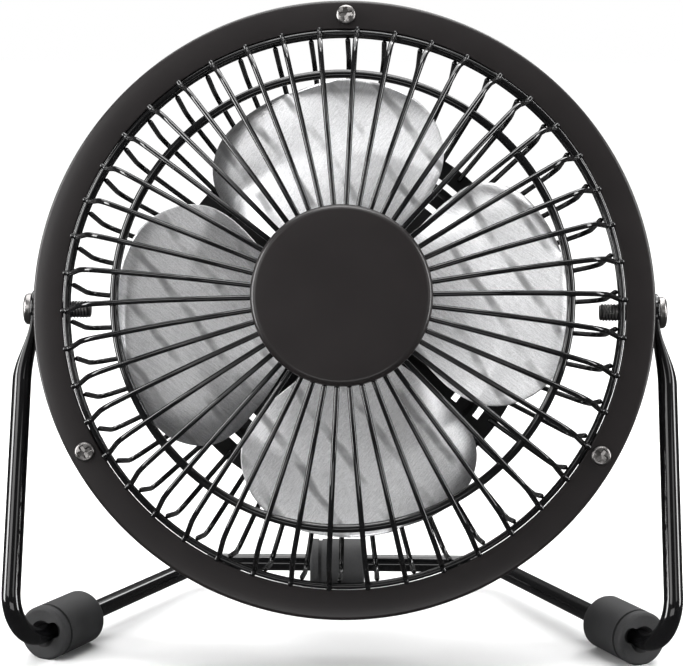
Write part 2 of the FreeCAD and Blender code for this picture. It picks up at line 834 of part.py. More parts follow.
def make_grub_screw():
    """The grub screw that grips the shaft."""
    middle = blade_plate_z - blade_plate_t - hub_length / 2
    return cylinder(grub_screw_r, V(0, shaft_r, middle), V(0, hub_r - grub_screw_sink, middle))


def make_blade_plate():
    """The round plate that the blades are riveted to."""
    plate = tube(blade_plate_r, hub_neck_r, blade_plate_z - blade_plate_t, blade_plate_z)
    return plate.cut(Part.makeCompound(rivet_places(rivet_cutter())))


def rivet_cutter():
    """The hole that a rivet fills."""
    return disc(rivet_r, blade_plate_z - blade_plate_t - 1, blade_plate_z + blade_t + 1)


def rivet_places(shape):
    """The shape at both rivets of each blade."""
    middle = (blade_outline[0][1] + blade_outline[0][2]) / 2
    placed = []
    for k in range(blade_count):
        for spread in (-rivet_spread / 2, rivet_spread / 2):
            angle = blade_first + middle + spread + k * 360.0 / blade_count
            placed.append(turned(moved(shape, V(0, rivet_ring_r, 0)), angle))
    return placed


def blade_height(part, radius):
    """How far the middle of the sheet stands ahead of the blade's mean plane."""
    growth = (radius - blade_flat_r) / (blade_twist_r - blade_flat_r)
    growth = min(1.0, max(0.0, growth))
    curl = max(0.0, 1 - part / blade_curl_part) ** 2
    return growth * (blade_rise * (part - 0.5) - blade_curl * curl)


def blade_surface(z):
    """One face of a blade, through a grid of points."""
    parts = (0.0, 0.06, 0.12, 0.2, 0.35, 0.5, 0.65, 0.8, 0.9, 1.0)
    grid = []
    for radius, first, last in blade_outline:
        grid.append([
            around(first + (last - first) * part, radius, z + blade_height(part, radius))
            for part in parts
        ])
    surface = Part.BSplineSurface()
    surface.interpolate(grid)
    return surface.toShape()


def make_blade():
    """One blade: two faces joined round their edges."""
    back = blade_surface(blade_plate_z)
    front = moved(back, V(0, 0, blade_t))
    sides = [Part.makeRuledSurface(a, b) for a, b in zip(back.Edges, front.Edges)]
    shell = Part.makeShell([back, front] + sides)
    shell.sewShape()
    blade = Part.makeSolid(shell)
    if blade.Volume < 0:
        blade.reverse()
    return turned(blade, blade_first)


def make_blades():
    """The four rolled aluminium blades."""
    holes = Part.makeCompound(rivet_places(rivet_cutter()))
    blades = ring_of(make_blade(), blade_count)
    return Part.makeCompound([blade.cut(holes) for blade in blades])


def make_rivets():
    """Two rivets for each blade."""
    low = blade_plate_z - blade_plate_t
    high = blade_plate_z + blade_t
    rivet = disc(rivet_r, low, high)
    rivet = rivet.fuse(moved(pan_head(rivet_head_r, rivet_head_h), V(0, 0, high)))
    rivet = rivet.fuse(disc(rivet_head_r, low - rivet_head_h / 2, low))
    return Part.makeCompound(rivet_places(rivet))


# -------------------------------------------------------------------- switch
def rocker_pivot_z():
    """The height of the rocker's pivot line."""
    return switch_front_z + rocker_pivot_depth + rocker_dip


def make_switch_body():
    """The switch housing that is snapped into the cover."""
    width, height, depth = switch_body
    body = block(width, height, cover_back_z, cover_back_z + depth, 0, switch_y)
    bezel = block(switch_bezel[0], switch_bezel[1], switch_front_z, cover_back_z, 0, switch_y)
    body = body.fuse(bezel)
    pivot_z_local = rocker_pivot_z()
    floor = pivot_z_local + rocker_foot + rocker_floor_gap
    body = body.cut(block(switch_cavity[0], switch_cavity[1], switch_front_z - 1, floor, 0, switch_y))
    reach = rocker_size[1] / 2 + rocker_pin_length + rocker_pin_gap
    start = V(0, switch_y - reach, pivot_z_local)
    end = V(0, switch_y + reach, pivot_z_local)
    return body.cut(cylinder(rocker_pin_r + running_gap, start, end))


def make_rocker():
    """The rocker, tipped to its off side, with its two pins."""
    half = rocker_size[0] / 2
    z = rocker_pivot_z()
    low_side = rocker_size[1] / 2
    foot = half * rocker_foot_part
    outline = [
        V(-half, 0, -rocker_edge), V(-half + rocker_edge, 0, -rocker_rise),
        V(0, 0, -rocker_rise + rocker_dish),
        V(half - rocker_edge, 0, -rocker_rise), V(half, 0, -rocker_edge),
        V(foot, 0, rocker_foot), V(-foot, 0, rocker_foot),
    ]
    face = Part.Face(Part.makePolygon(outline + outline[:1]))
    body = moved(face, V(0, -low_side, 0)).extrude(V(0, 2 * low_side, 0))
    pin = low_side + rocker_pin_length
    body = body.fuse(cylinder(rocker_pin_r, V(0, -pin, 0), V(0, pin, 0)))
    body.rotate(V(0, 0, 0), V(0, 1, 0), -rocker_tilt)
    return moved(body, V(0, switch_y, z))


def make_switch_terminals():
    """The switch's two solder tabs."""
    low = cover_back_z + switch_body[2]
    tab = block(terminal_w, terminal_t, low, low + terminal_length, 0, switch_y)
    return Part.makeCompound([moved(tab, V(s * switch_terminal_x, 0, 0)) for s in (-1, 1)])


def make_gland():
    """The rubber grommet that the lead comes out of."""
    inner = cover_back_z + cover_wall
    gland = disc(gland_flange_r, cover_back_z - gland_flange_t, cover_back_z, 0, gland_y)
    gland = gland.fuse(disc(gland_r, cover_back_z, inner, 0, gland_y))
    gland = gland.fuse(disc(gland_flange_r, inner, inner + gland_flange_t, 0, gland_y))
    bore = disc(gland_bore_r, cover_back_z - 5, inner + 5, 0, gland_y)
    return gland.cut(bore)


# --------------------------------------------------------------------- build
def stand_nodes():
    return {
        "stand_frame": make_stand_frame(),
        "front_left_foot": make_front_foot(-1),
        "front_right_foot": make_front_foot(1),
        "rear_foot": make_rear_foot(),
    }


def guard_nodes():
    return {
        "rim": make_rim(),
        "pivot_screws": both_sides(make_pivot_screw()),
        "pivot_nuts": both_sides(make_pivot_nut()),
        "pivot_washers": both_sides(make_pivot_washer()),
        "front_spokes": make_spokes(),
        "front_mid_ring": make_mid_ring(),
        "front_outer_ring": make_outer_ring(ring_z),
        "centre_disc": make_centre_disc(),
        "front_hub_plate": make_hub_plate(),
        "guard_lugs": make_lugs(),
        "flange_screws": make_flange_screws(),
        "rear_outer_ring": make_outer_ring(rear_ring_z),
        "rear_wires": make_cage_wires(),
        "rear_plate": make_rear_plate(),
        "motor_cover": make_cover(),
        "cover_screws": make_cover_screws(),
    }


def motor_nodes():
    return {
        "motor_can": make_motor_can(),
        "motor_screws": make_motor_screws(),
        "motor_end_cap": make_end_cap(),
        "front_bush": make_front_bush(),
        "rear_bush": make_rear_bush(),
        "motor_magnets": make_magnets(),
        "motor_brushes": make_brushes(),
        "motor_terminals": make_terminals(),
        "switch_body": make_switch_body(),
        "switch_terminals": make_switch_terminals(),
        "switch_rocker": make_rocker(),
        "cable_gland": make_gland(),
    }


def rotor_nodes():
    return {
        "motor_shaft": make_shaft(),
        "armature_core": make_armature_core(),
        "armature_windings": make_windings(),
        "commutator": make_commutator(),
        "blade_hub": make_hub(),
        "grub_screw": make_grub_screw(),
        "blade_plate": make_blade_plate(),
        "blades": make_blades(),
        "blade_rivets": make_rivets(),
    }


def main():
    os.makedirs("parts", exist_ok=True)
    nodes = stand_nodes()
    for group in (guard_nodes(), motor_nodes(), rotor_nodes()):
        for name, shape in group.items():
            nodes[name] = in_head(shape)
    for name, shape in nodes.items():
        shape.exportStep("parts/" + name + ".step")
    print("rim centre", rim_centre)
    print("fan axis", head_frame.Rotation.multVec(V(0, 0, 1)))
    print("rocker pivot", head_frame.multVec(V(0, switch_y, rocker_pivot_z())))
    print("rocker axis", head_frame.Rotation.multVec(V(0, 1, 0)))


main()
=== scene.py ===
import json
import math
import bmesh
import bpy
from mathutils import Matrix, Vector


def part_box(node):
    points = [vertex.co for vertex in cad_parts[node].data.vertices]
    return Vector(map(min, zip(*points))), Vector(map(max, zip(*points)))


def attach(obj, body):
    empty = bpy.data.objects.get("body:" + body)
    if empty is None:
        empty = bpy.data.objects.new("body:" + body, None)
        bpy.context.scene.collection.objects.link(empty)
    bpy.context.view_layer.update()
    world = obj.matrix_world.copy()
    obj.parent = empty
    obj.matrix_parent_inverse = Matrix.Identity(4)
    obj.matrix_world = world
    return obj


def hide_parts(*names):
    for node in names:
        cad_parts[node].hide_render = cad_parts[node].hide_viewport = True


bl_info = {
    "name": "Wire Guard Desk Fan",
    "version": (1, 0, 0),
    "blender": (4, 5, 0),
    "location": "3D View > Sidebar > Fan",
    "description": "Builds the wires, pressings, blades and finishes of a small desk fan",
    "category": "Add Mesh",
}

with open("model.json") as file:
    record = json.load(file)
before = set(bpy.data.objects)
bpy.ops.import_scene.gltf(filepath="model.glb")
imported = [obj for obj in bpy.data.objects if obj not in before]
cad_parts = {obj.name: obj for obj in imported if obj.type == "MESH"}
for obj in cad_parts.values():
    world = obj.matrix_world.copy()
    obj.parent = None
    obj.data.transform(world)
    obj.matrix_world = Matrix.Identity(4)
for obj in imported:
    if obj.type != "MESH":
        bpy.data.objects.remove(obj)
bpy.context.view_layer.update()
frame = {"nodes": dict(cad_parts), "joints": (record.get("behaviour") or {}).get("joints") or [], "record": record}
NODES = frame["nodes"]
JOINTS = {joint["name"]: joint for joint in frame["joints"]}
MM = 0.001
FINISH = "worked_"


# ------------------------------------------------------------- places in the frame
def head_matrix():
    """The head's own frame: x right, y up across the head, z forward on the axis."""
    forward = Vector(JOINTS["fan_spin"]["axis"]).normalized()
    across = Vector((1, 0, 0))
    up = forward.cross(across)
    matrix = Matrix((across, up, forward)).transposed().to_4x4()
    matrix.translation = Vector(JOINTS["fan_spin"]["pos_m"])
    return matrix


HEAD = head_matrix()
PIVOT = Vector(JOINTS["head_tilt"]["pos_m"])


def reach(node):
    """A node's least and greatest radius about the fan's axis, and its ends along it."""
    inverse = HEAD.inverted()
    points = [inverse @ corner.co for corner in NODES[node].data.vertices]
    radii = [point.xy.length for point in points]
    heights = [point.z for point in points]
    return min(radii), max(radii), min(heights), max(heights)


RIM = reach("rim")
RING = reach("front_outer_ring")
REAR_RING = reach("rear_outer_ring")
MID_RING = reach("front_mid_ring")
CAP = reach("centre_disc")
BLADE_PLATE = reach("blade_plate")
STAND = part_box("stand_frame")
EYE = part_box("pivot_washers")
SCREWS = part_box("pivot_screws")


# ------------------------------------------------------------------- mesh helpers
class Shape:
    """Corners and faces, gathered into one mesh."""

    def __init__(self):
        self.corners = []
        self.faces = []

    def ring(self, points):
        """Adds a ring of corners and returns their numbers."""
        start = len(self.corners)
        self.corners += [Vector(point) for point in points]
        return list(range(start, len(self.corners)))

    def bridge(self, first, second, closed=True):
        """Four-sided faces between two rings of equally many corners."""
        count = len(first)
        for k in range(count if closed else count - 1):
            after = (k + 1) % count
            self.faces.append((first[k], first[after], second[after], second[k]))

    def lid(self, ring, centre):
        """Closes a ring with a fan about one more corner."""
        middle = self.ring([centre])[0]
        for k, corner in enumerate(ring):
            self.faces.append((corner, ring[(k + 1) % len(ring)], middle))

    def loft(self, rings, closed=False):
        """Joins the rings in order; the ends meet or are closed."""
        numbers = [self.ring(points) for points in rings]
        for first, second in zip(numbers, numbers[1:]):
            self.bridge(first, second)
        if closed:
            self.bridge(numbers[-1], numbers[0])
        else:
            for points, ring in ((rings[0], numbers[0]), (rings[-1], numbers[-1])):
                self.lid(ring, sum(map(Vector, points), Vector()) / len(points))

    def moved(self, matrix, start=0):
        """Carries the corners from number start on."""
        self.corners[start:] = [matrix @ corner for corner in self.corners[start:]]

    def mesh(self, name, sharp=35.0):
        """The mesh, with faces turned outwards and smooth up to an angle."""
        mesh = bpy.data.meshes.new(name)
        mesh.from_pydata(self.corners, [], self.faces)
        work = bmesh.new()
        work.from_mesh(mesh)
        bmesh.ops.recalc_face_normals(work, faces=work.faces)
        work.to_mesh(mesh)
        work.free()
        soften(mesh, sharp)
        return mesh


def soften(mesh, sharp):
    """Smooth shading, apart from edges over an angle in degrees."""
    mesh.polygons.foreach_set("use_smooth", [True] * len(mesh.polygons))
    mesh.set_sharp_from_angle(angle=math.radians(sharp))


def placed(mesh, body, material, slot, *nodes):
    """Puts a mesh in the scene as a piece on a body, in place of CAD nodes."""
    piece = bpy.data.objects.new(mesh.name, mesh)
    bpy.context.scene.collection.objects.link(piece)
    mesh.materials.append(material)
    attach(piece, body)
    if nodes:
        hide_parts(*nodes)
    return piece


def modified(piece, kind, **settings):
    """Adds a modifier to a piece."""
    modifier = piece.modifiers.new(kind.title(), kind)
    for name, value in settings.items():
        setattr(modifier, name, value)


def around(angle, radius, z=0.0):
    """A point of the head at a clockwise angle in degrees from the top."""
    turn = math.radians(angle)
    return Vector((radius * math.sin(turn), radius * math.cos(turn), z))


def circle(radius, count, z=0.0):
    """Points round the z axis."""
    return [around(360 * k / count, radius, z) for k in range(count)]


def bent(points, bends, step=9.0):
    """Straight runs through the points, joined by round bends."""
    points = [Vector(point) for point in points]
    path = [points[0]]
    for before, corner, after, radius in zip(points, points[1:], points[2:], bends):
        back = (before - corner).normalized()
        ahead = (after - corner).normalized()
        half = (math.pi - back.angle(ahead)) / 2
        first = corner + back * (radius * math.tan(half))
        middle = corner + (back + ahead).normalized() * (radius / math.cos(half))
        axis = back.cross(ahead).normalized()
        count = max(2, math.ceil(math.degrees(2 * half) / step))
        for k in range(count + 1):
            turn = Matrix.Rotation(-2 * half * k / count, 3, axis)
            path.append(middle + turn @ (first - middle))
    path.append(points[-1])
    return path


def rounded(outline, radii, step=15.0):
    """A closed outline of (radius, height) points with each corner rounded."""
    count = len(outline)
    smooth = []
    for k, radius in enumerate(radii):
        three = [outline[k - 1], outline[k], outline[(k + 1) % count]]
        if radius > 0:
            smooth += bent([(r, 0, z) for r, z in three], (radius,), step)[1:-1]
        else:
            smooth.append(Vector((outline[k][0], 0, outline[k][1])))
    return [(point.x, point.z) for point in smooth]


def turned(shape, outline, count):
    """A solid turned about the z axis from a closed outline."""
    rings = [circle(r, count, z) for r, z in outline]
    shape.loft(rings, closed=True)


def slice_of(centre, side, over, radius, sides):
    """A ring of corners about a point of a bar."""
    turns = (2 * math.pi * n / sides for n in range(sides))
    return [centre + side * (radius * math.cos(turn)) + over * (radius * math.sin(turn))
            for turn in turns]


def bar(shape, path, radius, sides, closed=False):
    """A round bar along a path, with domed ends unless it is closed."""
    side = Vector((0, 0, 1))
    rises = [0.0, 25.0, 50.0, 75.0]
    rings = []
    last = len(path) - 1
    for k, point in enumerate(path):
        before = path[k - 1] if k or closed else point
        after = path[(k + 1) % len(path)] if k < last or closed else point
        way = (after - before).normalized()
        side = (side - way * side.dot(way)).normalized()
        over = way.cross(side)
        dome = [0.0]
        if not closed and k in (0, last):
            dome = rises[::-1] if k == 0 else rises
        for rise in dome:
            out = radius * math.cos(math.radians(rise))
            slide = radius * (1 - math.sin(math.radians(rise)))
            centre = point
            if not closed and k in (0, last):
                centre = point + way * (slide if k == 0 else -slide)
            rings.append(slice_of(centre, side, over, out, sides))
    shape.loft(rings, closed=closed)


def facing(place, way):
    """A matrix that carries z to a direction, at a place."""
    return Matrix.Translation(place) @ Vector(way).to_track_quat("Z", "Y").to_matrix().to_4x4()


# ----------------------------------------------------------------- shader helpers
class Value:
    """A socket that sums, differences and products can be written with."""

    def __init__(self, shader, socket):
        self.shader = shader
        self.socket = socket

    def maths(self, operation, first, second):
        """A Math node on two values."""
        return self.shader.node("ShaderNodeMath", {"operation": operation}, {0: first, 1: second})

    def __add__(self, other):
        return self.maths("ADD", self, other)

    def __radd__(self, other):
        return self.maths("ADD", other, self)

    def __rsub__(self, other):
        return self.maths("SUBTRACT", other, self)

    def __mul__(self, other):
        return self.maths("MULTIPLY", self, other)

    def __rmul__(self, other):
        return self.maths("MULTIPLY", other, self)


class Shader:
    """A material under construction."""

    def __init__(self, name, **plain):
        self.material = bpy.data.materials.new(FINISH + name)
        self.material.use_nodes = True
        self.tree = self.material.node_tree
        self.surface = self.tree.nodes["Principled BSDF"]
        for socket, value in plain.items():
            self.surface.inputs[socket.replace("_", " ")].default_value = value

    def node(self, kind, settings=None, inputs=None, output=0):
        """Any node: its settings first, then the values or links of its sockets."""
        node = self.tree.nodes.new(kind)
        for name, value in (settings or {}).items():
            if name == "stops":
                self.set_ramp(node.color_ramp, value)
            else:
                setattr(node, name, value)
        for name, value in (inputs or {}).items():
            self.join(node.inputs[name], value)
        return Value(self, node.outputs[output])

    @staticmethod
    def set_ramp(ramp, stops):
        """Colour stops as (position, grey or colour)."""
        while len(ramp.elements) < len(stops):
            ramp.elements.new(1.0)
        for element, (position, colour) in zip(ramp.elements, stops):
            element.position = position
            element.color = (*colour, 1) if isinstance(colour, tuple) else (colour,) * 3 + (1,)

    def join(self, socket, value):
        """Links a value to a socket, or sets the socket."""
        if isinstance(value, Value):
            self.tree.links.new(value.socket, socket)
        else:
            socket.default_value = value

    def feed(self, name, value):
        """Feeds one socket of the surface."""
        self.join(self.surface.inputs[name], value)

    def place(self):
        """Where a point lies on the piece, in metres."""
        return self.node("ShaderNodeTexCoord", output="Object")

    def noise(self, size, detail=3.0, rough=0.5, place=None):
        """Soft noise with features of a size in metres."""
        inputs = {"Vector": place or self.place(), "Scale": 1 / size, "Detail": detail,
                  "Roughness": rough}
        return self.node("ShaderNodeTexNoise", None, inputs)

    def stretched(self, size, turn, detail=3.0):
        """Noise drawn out along one direction: size and turn are three numbers."""
        place = self.node("ShaderNodeMapping", {"vector_type": "TEXTURE"}, {
            "Vector": self.place(), "Rotation": turn, "Scale": size})
        return self.noise(1.0, detail, 0.6, place)

    def ramp(self, value, stops):
        """A colour ramp on a value."""
        return self.node("ShaderNodeValToRGB", {"stops": stops}, {"Fac": value})

    def mix(self, factor, first, second):
        """A colour between two colours."""
        settings = {"data_type": "RGBA"}
        inputs = {0: factor, 6: first, 7: second}
        return self.node("ShaderNodeMix", settings, inputs, 2)

    def bump(self, height, strength, depth):
        """Fine relief, depth in metres."""
        normal = self.node("ShaderNodeBump", None, {
            "Height": height, "Strength": strength, "Distance": depth})
        self.feed("Normal", normal)


def shade(colour, factor):
    """A colour made lighter or darker, with its alpha."""
    return (*[min(1.0, part * factor) for part in colour[:3]], 1.0)


# --------------------------------------------------------------------- properties
def length(name, description, millimetres):
    """A size, given in millimetres."""
    return bpy.props.FloatProperty(
        name=name, description=description, default=millimetres * MM, unit="LENGTH",
        precision=5)


def angle(name, description, degrees):
    """An angle, given in degrees."""
    return bpy.props.FloatProperty(
        name=name, description=description, default=math.radians(degrees), unit="ROTATION")


def number(name, description, value):
    """A whole number."""
    return bpy.props.IntProperty(name=name, description=description, default=value)


def colour(name, description, red, green, blue):
    """A linear colour."""
    return bpy.props.FloatVectorProperty(
        name=name, description=description, default=(red, green, blue), size=3,
        subtype="COLOR", min=0, max=1)


class FanSizes(bpy.types.PropertyGroup):
    """Sizes of the fan that the frame doesn't fix by itself."""

    wall: length("Rim wall", "Thickness of the pressed rim", 1.0)
    rim_round: length("Rim edge", "Rounding of the rim's front edge", 0.8)
    lip: length("Rim lip", "Inward curl at the rim's back edge", 1.6)
    spoke_count: number("Wires", "Number of wires in each guard", 46)
    spoke_first: angle("First wire", "Clockwise from the top", 2.4)
    rear_offset: angle("Rear wires", "Turn of the rear wires against the front ones", -2.0)
    wire: length("Wire radius", "Radius of the guard's wires", 0.6)
    rod: length("Rod radius", "Radius of the stand's rod", 2.15)
    eye: length("Eye radius", "Radius of the stand's flattened eyes", 4.3)
    eye_bore: length("Eye bore", "Radius of the hole in each eye", 2.08)
    eye_thick: length("Eye thickness", "Thickness of the flattened eyes", 1.3)
    head_h: length("Pivot head", "Height of the pivot screws' heads", 1.8)
    play: length("Pivot play", "Side play of the eye under the screw's head", 0.1)
    neck_start: length("Neck start", "Start of the eye's neck, down from the pivot", 17.0)
    neck_end: length("Neck end", "End of the eye's neck, down from the pivot", 2.5)
    corner_reach: length("Corner reach", "Sharp corner of the rod's path before its bend", 2.04)
    crossbar: length("Half crossbar", "Half the crossbar between its corners", 37.0)
    bend: length("Rod bend", "Bend radius of the rod", 9.0)
    cap_wall: length("Cap wall", "Thickness of the middle cap", 0.8)
    cap_round: length("Cap edge", "Rounding of the middle cap", 1.4)
    blade_thick: length("Blade sheet", "Thickness of the blade sheet", 0.6)
    blade_first: angle("First blade", "Rear edge of the first blade", -48.0)


class FanColours(bpy.types.PropertyGroup):
    """Colours of the fan's finishes."""

    rod: colour("Gloss enamel", "Stand and guard wires", 0.003, 0.003, 0.0033)
    rim: colour("Satin enamel", "Rim and middle cap", 0.0085, 0.0066, 0.0067)
    plate: colour("Plate enamel", "Pressed plates behind the wires", 0.0025, 0.0025, 0.0028)
    rubber: colour("Rubber", "Feet and gland", 0.019, 0.019, 0.0198)
    blade: colour("Blade sheet", "Brushed blades", 0.74, 0.74, 0.75)
    screw: colour("Screw plating", "Black nickel screws", 0.26, 0.25, 0.245)
    plastic: colour("Moulded cover", "Motor cover", 0.009, 0.009, 0.0095)
    floor: colour("Floor", "Plain pale floor", 0.92, 0.92, 0.92)


# ---------------------------------------------------------------------- materials
def enamel(name, tint, roughness, coat, gloss, grain, shine):
    """Sprayed and baked paint with a faint orange peel."""
    paint = Shader(name, Coat_Roughness=gloss, Coat_IOR=1.52, Specular_IOR_Level=shine)
    cloud = paint.noise(9 * MM, 4)
    speck = paint.noise(0.35 * MM, 2)
    paint.feed("Base Color", paint.mix(cloud, shade(tint, 0.82), shade(tint, 1.18)))
    paint.feed("Roughness", roughness - 0.05 + 0.10 * cloud)
    paint.feed("Coat Weight", coat - 0.1 * cloud)
    peel = paint.noise(grain, 2)
    paint.bump(0.75 * peel + 0.25 * speck, 0.22, 0.02 * MM)
    return paint.material


def rubber(tint):
    """Moulded rubber with a fine grain and a little dust."""
    stuff = Shader("foot_rubber", Specular_IOR_Level=0.5)
    grain = stuff.noise(0.22 * MM, 4, 0.65)
    patch = stuff.noise(4 * MM, 3)
    dust = stuff.ramp(0.65 * grain + 0.35 * patch, ((0.40, 0.0), (0.62, 1.0)))
    stuff.feed("Base Color", stuff.mix(dust, shade(tint, 0.75), shade(tint, 1.5)))
    stuff.feed("Roughness", 0.62 + 0.2 * patch)
    stuff.bump(grain, 0.5, 0.03 * MM)
    return stuff.material


def brushed(name, tint, turn, roughness):
    """Sheet metal brushed in one direction."""
    metal = Shader(name, Metallic=1.0)
    scratch = metal.stretched((3.2 * MM, 0.07 * MM, 0.25 * MM), turn, 3)
    coarse = metal.stretched((7 * MM, 0.24 * MM, 0.8 * MM), turn, 2)
    cloud = metal.noise(16 * MM, 3)
    lines = 0.6 * scratch + 0.4 * coarse
    tone = metal.ramp(lines, ((0.34, 0.0), (0.64, 1.0)))
    metal.feed("Base Color", metal.mix(tone, shade(tint, 0.74), shade(tint, 1.06)))
    metal.feed("Roughness", roughness - 0.06 + 0.14 * scratch + 0.05 * cloud)
    metal.bump(lines, 0.35, 0.015 * MM)
    return metal.material


def rolled_sheet(name, tint):
    """Satin blade sheet: short strokes of the brush, fine speckle, and soft dark streaks that are painted
    reflections of the guard's wires.
    """
    sheet = Shader(name)
    place = sheet.node("ShaderNodeAttribute", {"attribute_name": "sheet_place"}, None, 1)
    along = sheet.node("ShaderNodeMapping", {"vector_type": "TEXTURE"}, {
        "Vector": place, "Rotation": (0, 0, math.radians(52)),
        "Scale": (2.4 * MM, 0.2 * MM, 0.02)})
    strokes = sheet.noise(1.0, 4, 0.65, along)
    speck = sheet.noise(0.22 * MM, 2)
    cloud = sheet.noise(11 * MM, 3)
    # Painted reflection: diagonal dark bands in patches, fixed on the rotor, stand in for the guard's wires
    # mirrored in the sheet.
    reflection_place = sheet.node("ShaderNodeMapping", None, {
        "Vector": sheet.place(), "Rotation": (0, math.radians(38), 0)})
    reflection_bands = sheet.node("ShaderNodeTexWave", {"bands_direction": "X"}, {
        "Vector": reflection_place, "Scale": 34.0, "Distortion": 3.4, "Detail": 4.0,
        "Detail Scale": 0.5, "Detail Roughness": 0.62, "Phase Offset": 2.0})
    reflection_patches = sheet.ramp(cloud, ((0.40, 0.0), (0.56, 1.0)))
    painted_reflection = sheet.ramp(reflection_bands, ((0.86, 0.0), (0.98, 1.0))) * reflection_patches
    bright = sheet.ramp(0.55 * strokes + 0.45 * speck, ((0.36, 0.0), (0.62, 1.0)))
    tone = sheet.mix(bright, shade(tint, 0.66), shade(tint, 1.12))
    # The painted reflection darkens the sheet's colour here and lowers its Metallic below.
    reflection_painted_tone = sheet.mix(painted_reflection * (0.55 + 0.45 * strokes), tone, shade(tint, 0.16))
    sheet.feed("Base Color", reflection_painted_tone)
    sheet.feed("Metallic", 0.86 - 0.3 * painted_reflection)
    sheet.feed("Roughness", 0.36 + 0.12 * strokes + 0.06 * cloud)
    sheet.bump(0.7 * strokes + 0.3 * speck, 0.4, 0.02 * MM)
    return sheet.material


def plated(name, tint, roughness):
    """Turned or stamped metal, plated and a little marked."""
    metal = Shader(name, Metallic=1.0)
    cloud = metal.noise(2 * MM, 4)
    mark = metal.noise(0.25 * MM, 3, 0.6)
    metal.feed("Base Color", metal.mix(cloud, shade(tint, 0.8), shade(tint, 1.25)))
    metal.feed("Roughness", roughness + 0.18 * mark)
    metal.bump(mark, 0.2, 0.01 * MM)
    return metal.material


def moulded(name, tint, roughness, spark):
    """Moulded plastic with a spark-eroded texture."""
    plastic = Shader(name, Specular_IOR_Level=0.45)
    grain = plastic.noise(0.3 * MM, 3, 0.6)
    cloud = plastic.noise(12 * MM, 2)
    plastic.feed("Base Color", plastic.mix(cloud, shade(tint, 0.85), shade(tint, 1.2)))
    plastic.feed("Roughness", roughness + 0.1 * grain)
    plastic.bump(grain, spark, 0.04 * MM)
    return plastic.material


def finishes():
    """What makes the finish of each of the record's material slots."""
    tones = bpy.context.scene.fan_colours
    return {
        "rod_enamel": lambda: enamel("rod_enamel", tones.rod, 0.3, 1.0, 0.05, 1.6 * MM, 0.05),
        "rim_enamel": lambda: enamel("rim_enamel", tones.rim, 0.44, 0.45, 0.2, 0.7 * MM, 0.25),
        "plate_enamel": lambda: enamel("plate_enamel", tones.plate, 0.34, 0.4, 0.12, 1.2 * MM,
                                       0.3),
        "foot_rubber": lambda: rubber(tones.rubber),
        "dark_screws": lambda: plated("dark_screws", tones.screw, 0.22),
        "blade_metal": lambda: rolled_sheet("blade_metal", tones.blade),
        "cover_plastic": lambda: moulded("cover_plastic", tones.plastic, 0.48, 0.35),
        "switch_plastic": lambda: moulded("switch_plastic", tones.plastic, 0.26, 0.08),
        "motor_steel": lambda: plated("motor_steel", (0.55, 0.55, 0.56), 0.28),
        "end_cap_plastic": lambda: moulded("end_cap_plastic", (0.72, 0.71, 0.66), 0.45, 0.15),
        "bearing_bronze": lambda: plated("bearing_bronze", (0.42, 0.26, 0.13), 0.42),
        "hub_brass": lambda: plated("hub_brass", (0.62, 0.45, 0.18), 0.24),
        "ferrite": lambda: moulded("ferrite", (0.02, 0.02, 0.021), 0.6, 0.5),
        "core_steel": lambda: brushed("core_steel", (0.3, 0.3, 0.31), (0, 0, 0), 0.4),
        "copper": lambda: plated("copper", (0.55, 0.21, 0.09), 0.25),
        "brush_carbon": lambda: moulded("brush_carbon", (0.02, 0.02, 0.02), 0.7, 0.4),
        "tab_brass": lambda: plated("tab_brass", (0.6, 0.5, 0.3), 0.3),
    }


def finish(slot):
    """The material of a record slot, made when it is first asked for."""
    return bpy.data.materials.get(FINISH + slot) or finishes()[slot]()


# ------------------------------------------------------------------------- pieces
SCREW_SIDES = 64
SEAT_EDGE = 0.1 * MM


def rounded_edge(radius, edge, top):
    """The rings of a screw head's rounded edge, from its crown to its side."""
    rings = []
    for degrees in (20, 40, 60, 80):
        turn = math.radians(degrees)
        rings.append(circle(radius - edge + edge * math.sin(turn), SCREW_SIDES,
                            top - edge + edge * math.cos(turn)))
    return rings


def screw_shape(shape, head_r, head_h, shank_r, length, recess):
    """A pan-head screw along z with its head's seat at z = 0 and a cross recess."""
    crown = head_h * 0.16
    edge = head_h * 0.42
    tip = 0.2 * MM
    rings = []
    count = 26
    for k in range(1, count + 1):
        radius = (head_r - edge) * k / count
        rings.append(recessed(radius, head_h - crown * (radius / head_r) ** 2, recess))
    rings += rounded_edge(head_r, edge, head_h - crown * ((head_r - edge) / head_r) ** 2)
    profile = ((head_r, 0.12 * MM), (head_r - SEAT_EDGE, 0), (shank_r, 0),
               (shank_r, tip - length), (shank_r - tip, -length))
    rings += [circle(radius, SCREW_SIDES, height) for radius, height in profile]
    shape.loft(rings)


def recessed(radius, height, recess):
    """A ring of a screw's head, sunk where the recess crosses it, less far to the ends."""
    long, wide, deep, slope = recess
    rise = 0.45
    ring = []
    for k in range(SCREW_SIDES):
        point = around(360 * k / SCREW_SIDES, radius, height)
        x, y = abs(point.x), abs(point.y)
        arms = (min(long - max(x, y), wide - min(x, y)) + slope) / slope
        flank = min(1.0, max(0.0, arms))
        floor = 1.0 - rise * min(1.0, max(x, y) / long)
        point.z -= deep * flank * flank * (3 - 2 * flank) * floor
        ring.append(point)
    return ring


